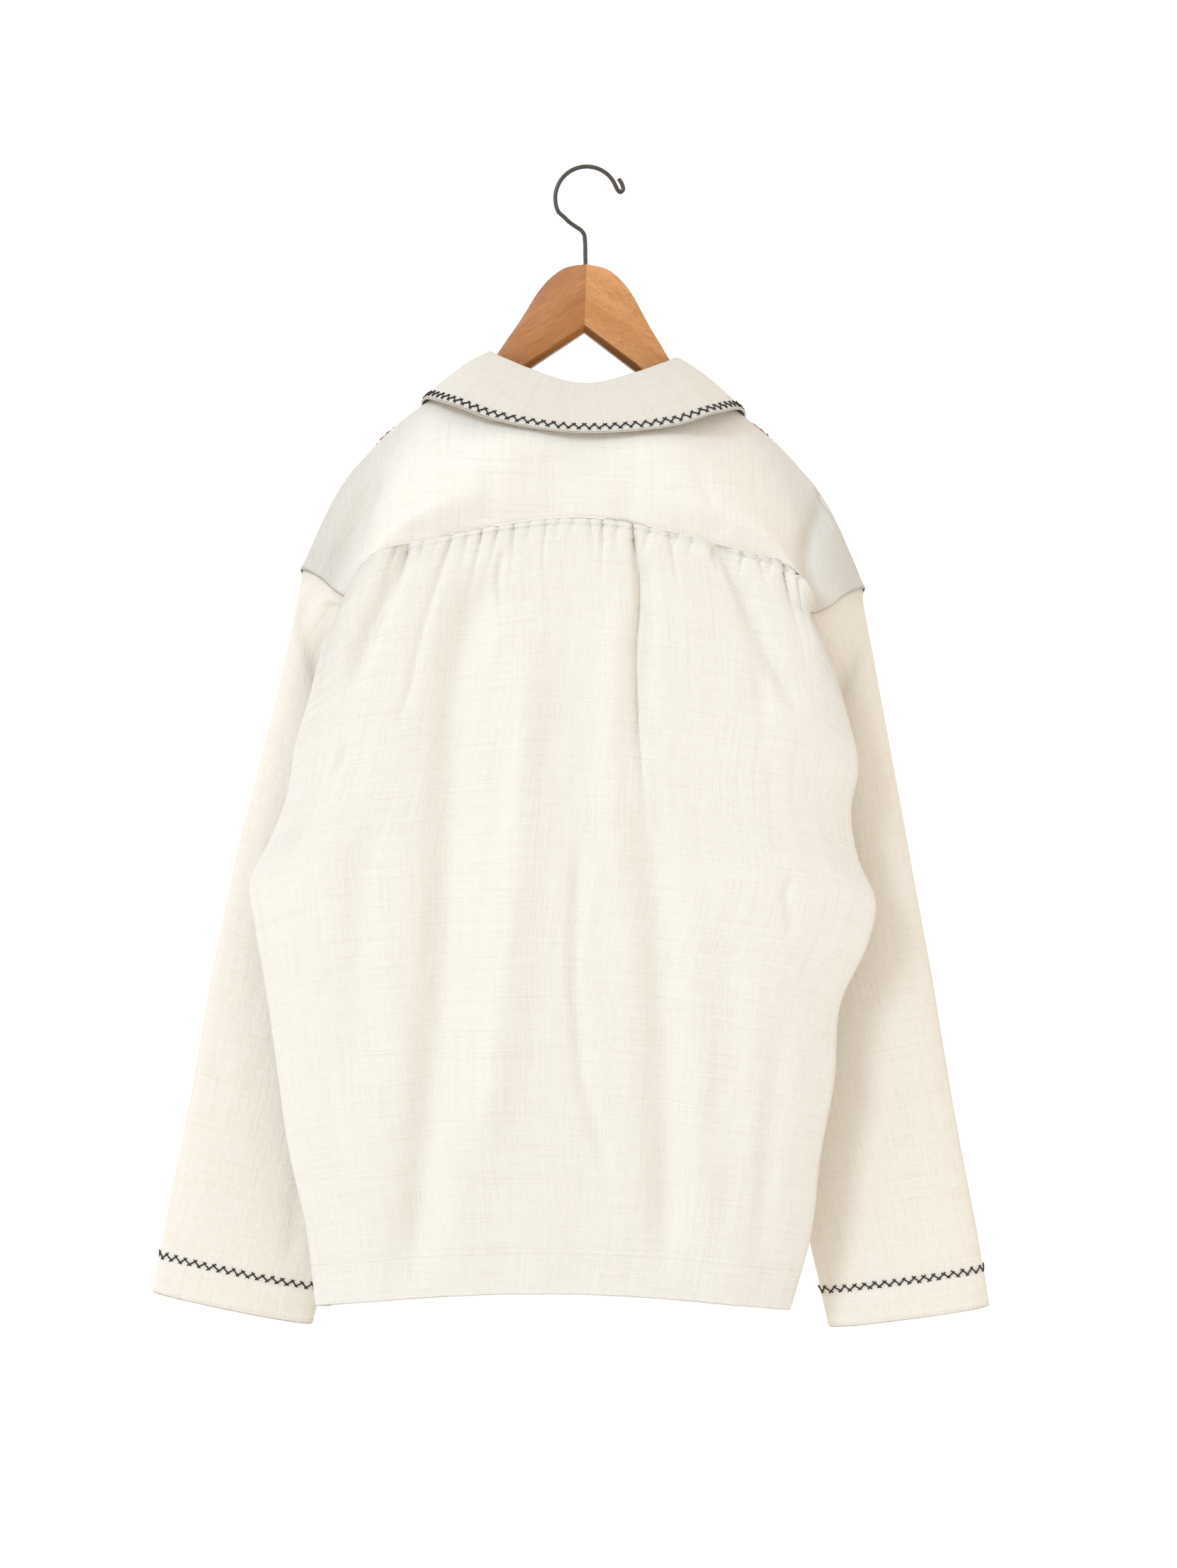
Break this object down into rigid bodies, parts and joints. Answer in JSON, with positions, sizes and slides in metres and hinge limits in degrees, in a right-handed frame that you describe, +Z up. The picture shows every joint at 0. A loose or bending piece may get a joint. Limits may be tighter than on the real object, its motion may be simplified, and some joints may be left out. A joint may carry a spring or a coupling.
{
  "type": "embroidered shirt on a hanger",
  "caption": "Long-sleeved cotton shirt with a turned-down collar, a yoke and a gathered back, hanging on a wooden hanger with a wire hook.",
  "frame": {"origin": "inner top of the hanger's hook, where a rod or a nail carries it", "axes": "+Z up, +Y out of the shirt's front, so that its back faces -Y, +X to the right of someone who looks at the back"},
  "size_m": [0.6595, 0.135, 0.9081],
  "materials": {
    "cloth": "matte",
    "button": "satin",
    "wood": "satin",
    "wire": "satin",
    "black_thread": "matte",
    "red_thread": "matte",
    "cream_thread": "matte"
  },
  "bodies": {
    "root": {"back_panel": "cloth", "button_1": "button", "button_2": "button", "button_3": "button", "button_4": "button", "button_5": "button", "button_6": "button", "collar": "cloth", "front_left": "cloth", "front_right": "cloth", "hanger_arm_left": "wood", "hanger_arm_right": "wood", "hook": "wire", "sleeve_left": "cloth", "sleeve_right": "cloth", "yoke": "cloth"}
  },
  "joints": []
}
